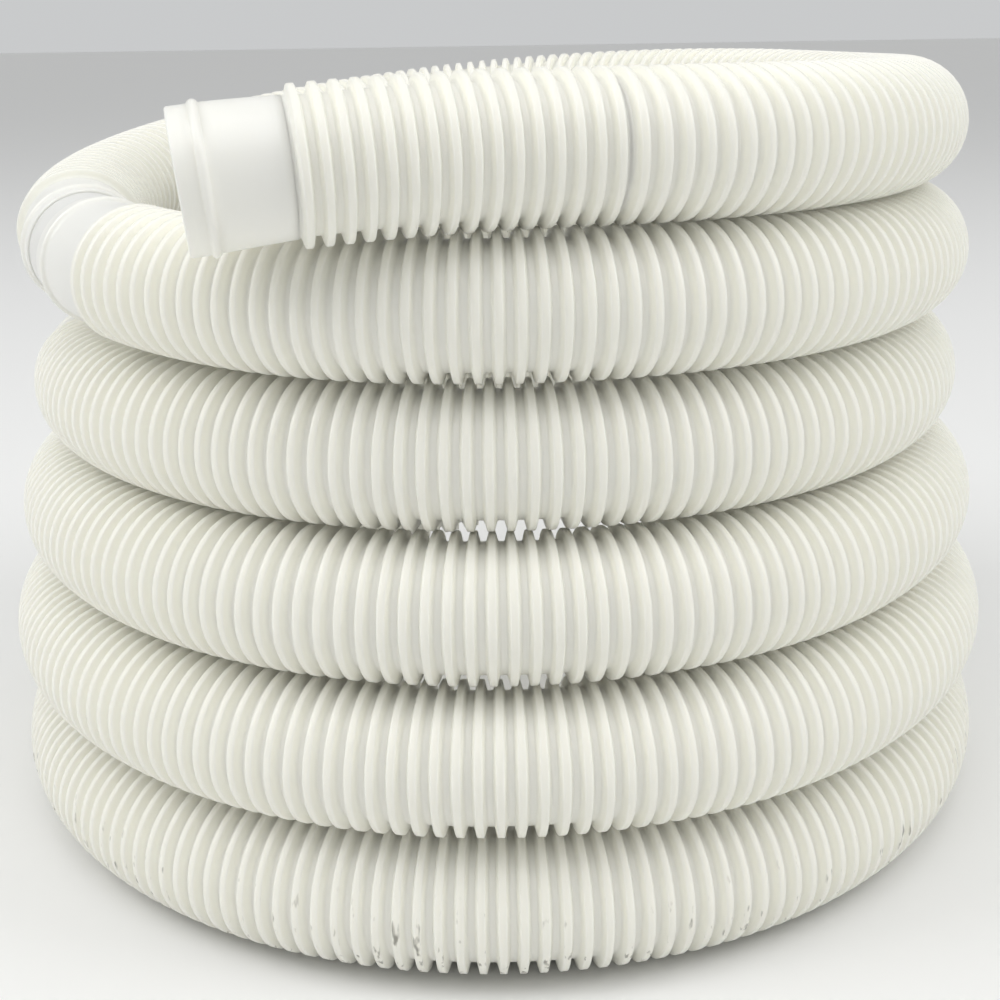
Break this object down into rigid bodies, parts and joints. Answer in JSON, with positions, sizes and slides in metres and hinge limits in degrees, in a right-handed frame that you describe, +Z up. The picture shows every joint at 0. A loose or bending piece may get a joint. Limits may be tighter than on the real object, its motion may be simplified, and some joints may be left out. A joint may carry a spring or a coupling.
{
  "type": "vacuum hose",
  "caption": "Coiled corrugated suction hose made of smooth-cuffed sections that can be cut apart, with a push-on socket at each free end.",
  "frame": {"origin": "on the floor under the middle of the coil's box", "axes": "+Z up along the coil's axis, -Y towards the front where the top end lies, +X to the right of it"},
  "size_m": [0.3782, 0.3888, 0.2754],
  "materials": {
    "corrugated_hose": "waxy, milky, slightly translucent",
    "cuff": "smooth, waxy, milky",
    "cutting_band": "smooth, waxy, milky"
  },
  "bodies": {
    "coil": {"hose_length_1": "corrugated_hose", "cuff_1_lower": "cuff", "cutting_band_1": "cutting_band", "cuff_2_upper": "cuff", "hose_length_2": "corrugated_hose", "cuff_2_lower": "cuff", "cutting_band_2": "cutting_band", "cuff_3_upper": "cuff", "hose_length_3": "corrugated_hose", "cuff_3_lower": "cuff", "cutting_band_3": "cutting_band", "cuff_4_upper": "cuff", "hose_length_4": "corrugated_hose", "cuff_4_lower": "cuff", "cutting_band_4": "cutting_band", "cuff_5_upper": "cuff", "hose_length_5": "corrugated_hose", "cuff_5_lower": "cuff", "cutting_band_5": "cutting_band", "cuff_6_upper": "cuff", "hose_length_6": "corrugated_hose"},
    "top_tail": {"top_tail_hose": "corrugated_hose"},
    "top_tip": {"top_tip_hose": "corrugated_hose", "top_end_cuff": "cuff"},
    "bottom_end": {"bottom_tail_hose": "corrugated_hose", "bottom_end_cuff": "cuff"}
  },
  "joints": [
    {"name": "top_end_swing", "type": "hinge", "parent": "coil", "child": "top_tail", "pos_m": [0.08464, -0.15446, 0.2512], "axis": [0, 0, 1], "range_deg": [0, 40], "stiffness_Nm_per_rad": 0.5},
    {"name": "top_end_lift", "type": "hinge", "parent": "top_tail", "child": "top_tip", "pos_m": [-0.0033, -0.15678, 0.27393], "axis": [-0.2062, 0.9785, 0], "range_deg": [0, 30], "stiffness_Nm_per_rad": 0.5},
    {"name": "bottom_end_swing", "type": "hinge", "parent": "coil", "child": "bottom_end", "pos_m": [0.18033, -0.04845, 0.0222], "axis": [0, 0, -1], "range_deg": [0, 40], "stiffness_Nm_per_rad": 0.5}
  ]
}
